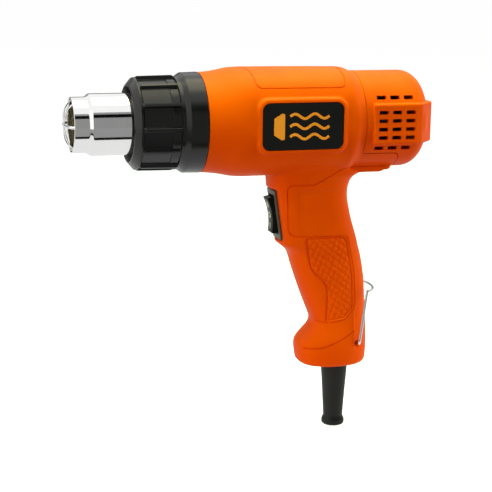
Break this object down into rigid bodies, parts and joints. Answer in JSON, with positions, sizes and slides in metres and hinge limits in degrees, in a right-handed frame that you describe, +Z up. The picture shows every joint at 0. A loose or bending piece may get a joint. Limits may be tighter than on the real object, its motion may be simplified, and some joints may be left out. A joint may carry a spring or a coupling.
{
  "type": "heat gun",
  "caption": "Pistol-grip hot-air gun with a stepped metal nozzle, ribbed collar, vented rear cover, front rocker switch and a swinging wire hanging bail.",
  "frame": {"origin": "centre of the flat rear face that the gun stands on, on the barrel's axis", "axes": "+X along the barrel towards the rear face, so the nozzle points to -X; +Z up, away from the grip; +Y towards the gun's right side"},
  "size_m": [0.241, 0.0718, 0.2461],
  "materials": {
    "orange_plastic": "moulded nylon, satin to gloss, saturated orange",
    "black_plastic": "moulded, satin near-black",
    "black_rubber": "moulded rubber, dull black",
    "chrome": "mirror bright",
    "steel": "zinc-plated",
    "grey_plastic": "moulded dark grey",
    "mica": "pressed mica sheet",
    "ceramic": "unglazed steatite",
    "resistance_wire": "oxidised heating alloy",
    "circuit_board": "glass-fibre laminate",
    "capacitor_case": "moulded box",
    "brown_lead": "insulated lead",
    "blue_lead": "insulated lead",
    "white_lead": "insulated lead",
    "red_lead": "insulated lead"
  },
  "bodies": {
    "gun_body": {"housing_left": "orange_plastic", "housing_right": "orange_plastic", "rear_cover": "orange_plastic", "badge_left": "black_plastic", "badge_right": "black_plastic", "strain_relief": "black_rubber", "nozzle_tube": "chrome", "nozzle_guard": "chrome", "housing_screw_1": "steel", "housing_screw_2": "steel", "housing_screw_3": "steel", "housing_screw_4": "steel", "housing_screw_5": "steel", "housing_screw_6": "steel", "cover_screw": "steel", "clamp_screw_1": "steel", "clamp_screw_2": "steel", "motor_can": "steel", "thermal_cutout": "steel", "switch_body": "grey_plastic", "motor_frame": "grey_plastic", "terminal_block": "grey_plastic", "cord_clamp": "grey_plastic", "heater_core": "mica", "heater_sleeve": "mica", "heater_ring": "ceramic", "heater_cap": "ceramic", "heater_coil": "resistance_wire", "motor_board": "circuit_board", "control_board": "circuit_board", "capacitor": "capacitor_case", "lead_supply": "brown_lead", "lead_neutral": "blue_lead", "lead_heater": "white_lead", "lead_motor": "red_lead"},
    "rocker": {"switch_rocker": "black_plastic"},
    "bail": {"hanging_bail": "chrome"},
    "collar": {"front_collar": "black_plastic"},
    "rotor": {"fan_impeller": "black_plastic", "motor_shaft": "steel"}
  },
  "joints": [
    {"name": "rocker_tilt", "type": "hinge", "parent": "gun_body", "child": "rocker", "pos_m": [-0.09803, 0, -0.06106], "axis": [0, 1, 0], "range_deg": [-9, 9]},
    {"name": "bail_swing", "type": "hinge", "parent": "gun_body", "child": "bail", "pos_m": [-0.0475, 0, -0.1498], "axis": [0, 1, 0], "range_deg": [0, 150]},
    {"name": "collar_twist", "type": "hinge", "parent": "gun_body", "child": "collar", "pos_m": [-0.1552, 0, 0], "axis": [1, 0, 0], "range_deg": [0, 30]},
    {"name": "fan_spin", "type": "hinge", "parent": "gun_body", "child": "rotor", "pos_m": [-0.062, 0, 0], "axis": [1, 0, 0], "continuous": true}
  ]
}
